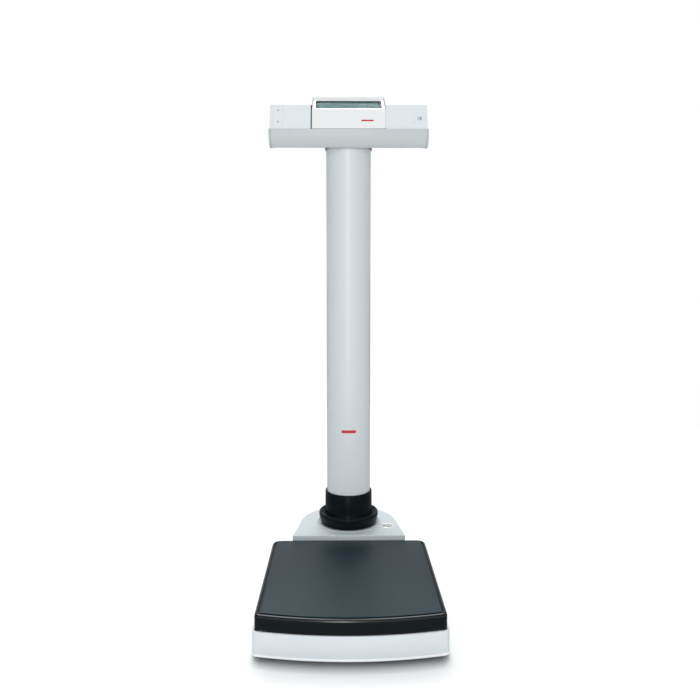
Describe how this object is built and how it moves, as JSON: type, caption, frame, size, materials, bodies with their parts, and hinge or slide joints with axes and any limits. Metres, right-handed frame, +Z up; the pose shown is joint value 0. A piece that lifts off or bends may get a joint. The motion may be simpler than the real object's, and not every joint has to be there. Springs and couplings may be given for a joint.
{
  "type": "digital column scale",
  "caption": "Electronic column scale: black weighing platform on a white base, round column behind it and a wide display head at waist height.",
  "frame": {"origin": "on the floor, at the middle of the footprint", "axes": "+Z up; the person being weighed stands on the platform facing +Y, the column is at +Y; +X to that person's right"},
  "size_m": [0.271, 0.45, 0.8309],
  "materials": {
    "white_plastic": "fine matt moulded white",
    "white_gloss": "smooth glossy white",
    "column_paint": "light grey powder coat, satin",
    "wing_foil": "satin light grey-white",
    "black_plastic": "glossy black",
    "mat_rubber": "fine-grained matt anthracite",
    "foot_rubber": "matt black",
    "cast_aluminium": "as cast, satin",
    "zinc_steel": "bright zinc plated",
    "board_green": "green circuit board",
    "smoked_glass": "smoked clear window",
    "clear_acrylic": "clear domed vial",
    "cell_sleeve": "plain plastic sleeve",
    "cable_black": "matt black sheath"
  },
  "bodies": {
    "base": {"base_tray": "white_plastic", "rear_housing": "white_plastic", "head_lower_shell": "white_plastic", "end_cap_left": "white_plastic", "end_cap_right": "white_plastic", "level_bezel": "white_gloss", "display_block": "white_gloss", "column_tube": "column_paint", "head_upper_shell": "wing_foil", "column_collar": "black_plastic", "display_panel": "black_plastic", "battery_holder": "black_plastic", "neck_ring": "foot_rubber", "status_lamp": "foot_rubber", "base_frame": "cast_aluminium", "column_foot": "cast_aluminium", "head_bracket": "cast_aluminium", "load_cell_front_left": "cast_aluminium", "load_cell_front_right": "cast_aluminium", "load_cell_rear_left": "cast_aluminium", "load_cell_rear_right": "cast_aluminium", "castor_axle": "zinc_steel", "column_bolt_1": "zinc_steel", "column_bolt_2": "zinc_steel", "column_bolt_3": "zinc_steel", "head_screw_1": "zinc_steel", "head_screw_2": "zinc_steel", "summing_board": "board_green", "main_board": "board_green", "radio_board": "board_green", "key_board_left": "board_green", "key_board_right": "board_green", "display_window": "smoked_glass", "level_vial": "clear_acrylic", "battery_1": "cell_sleeve", "battery_2": "cell_sleeve", "battery_3": "cell_sleeve", "battery_4": "cell_sleeve", "signal_cable": "cable_black"},
    "platform": {"platform_plate": "zinc_steel", "platform_cover": "black_plastic", "platform_mat": "mat_rubber"},
    "castor_left": {"castor_hub_left": "white_plastic", "castor_tyre_left": "foot_rubber"},
    "castor_right": {"castor_hub_right": "white_plastic", "castor_tyre_right": "foot_rubber"},
    "up_key": {"key_up": "wing_foil"},
    "down_key": {"key_down": "wing_foil"},
    "start_key": {"key_start": "wing_foil"},
    "battery_cover": {"battery_door": "wing_foil"},
    "foot_screw_front_left": {"foot_stud_front_left": "zinc_steel"},
    "foot_disc_front_left": {"foot_pad_front_left": "foot_rubber"},
    "foot_screw_front_right": {"foot_stud_front_right": "zinc_steel"},
    "foot_disc_front_right": {"foot_pad_front_right": "foot_rubber"},
    "foot_screw_rear_left": {"foot_stud_rear_left": "zinc_steel"},
    "foot_disc_rear_left": {"foot_pad_rear_left": "foot_rubber"},
    "foot_screw_rear_right": {"foot_stud_rear_right": "zinc_steel"},
    "foot_disc_rear_right": {"foot_pad_rear_right": "foot_rubber"}
  },
  "joints": [
    {"name": "platform_press", "type": "slide", "parent": "base", "child": "platform", "axis": [0, 0, -1], "range_m": [0, 0.0008], "stiffness_N_per_m": 150000, "springref_m": -0.0005},
    {"name": "castor_left_spin", "type": "hinge", "parent": "base", "child": "castor_left", "pos_m": [-0.038, 0.206, 0.022], "axis": [1, 0, 0], "continuous": true},
    {"name": "castor_right_spin", "type": "hinge", "parent": "base", "child": "castor_right", "pos_m": [0.038, 0.206, 0.022], "axis": [1, 0, 0], "continuous": true},
    {"name": "foot_front_left_height", "type": "slide", "parent": "base", "child": "foot_screw_front_left", "axis": [0, 0, -1], "range_m": [0, 0.005]},
    {"name": "foot_front_left_turn", "type": "hinge", "parent": "foot_screw_front_left", "child": "foot_disc_front_left", "pos_m": [-0.108, -0.178, 0.004], "axis": [0, 0, -1], "range_deg": [0, 1441]},
    {"name": "foot_front_right_height", "type": "slide", "parent": "base", "child": "foot_screw_front_right", "axis": [0, 0, -1], "range_m": [0, 0.005]},
    {"name": "foot_front_right_turn", "type": "hinge", "parent": "foot_screw_front_right", "child": "foot_disc_front_right", "pos_m": [0.108, -0.178, 0.004], "axis": [0, 0, -1], "range_deg": [0, 1441]},
    {"name": "foot_rear_left_height", "type": "slide", "parent": "base", "child": "foot_screw_rear_left", "axis": [0, 0, -1], "range_m": [0, 0.005]},
    {"name": "foot_rear_left_turn", "type": "hinge", "parent": "foot_screw_rear_left", "child": "foot_disc_rear_left", "pos_m": [-0.06, 0.163, 0.004], "axis": [0, 0, -1], "range_deg": [0, 1441]},
    {"name": "foot_rear_right_height", "type": "slide", "parent": "base", "child": "foot_screw_rear_right", "axis": [0, 0, -1], "range_m": [0, 0.005]},
    {"name": "foot_rear_right_turn", "type": "hinge", "parent": "foot_screw_rear_right", "child": "foot_disc_rear_right", "pos_m": [0.06, 0.163, 0.004], "axis": [0, 0, -1], "range_deg": [0, 1441]},
    {"name": "up_key_press", "type": "slide", "parent": "base", "child": "up_key", "axis": [0, 0.9167, -0.3995], "range_m": [0, 0.0007], "stiffness_N_per_m": 400, "springref_m": -0.0005},
    {"name": "down_key_press", "type": "slide", "parent": "base", "child": "down_key", "axis": [0, 0.9167, -0.3995], "range_m": [0, 0.0007], "stiffness_N_per_m": 400, "springref_m": -0.0005},
    {"name": "start_key_press", "type": "slide", "parent": "base", "child": "start_key", "axis": [0, 0.9167, -0.3995], "range_m": [0, 0.0007], "stiffness_N_per_m": 400, "springref_m": -0.0005},
    {"name": "battery_cover_hinge", "type": "hinge", "parent": "base", "child": "battery_cover", "pos_m": [0.095, 0.183, 0.7668], "axis": [-1, 0, 0], "range_deg": [0, 105]}
  ],
  "couplings": [
    {"joint": "foot_front_left_turn", "follows": "foot_front_left_height", "rad_per_m": 5026.5},
    {"joint": "foot_front_right_turn", "follows": "foot_front_right_height", "rad_per_m": 5026.5},
    {"joint": "foot_rear_left_turn", "follows": "foot_rear_left_height", "rad_per_m": 5026.5},
    {"joint": "foot_rear_right_turn", "follows": "foot_rear_right_height", "rad_per_m": 5026.5}
  ]
}
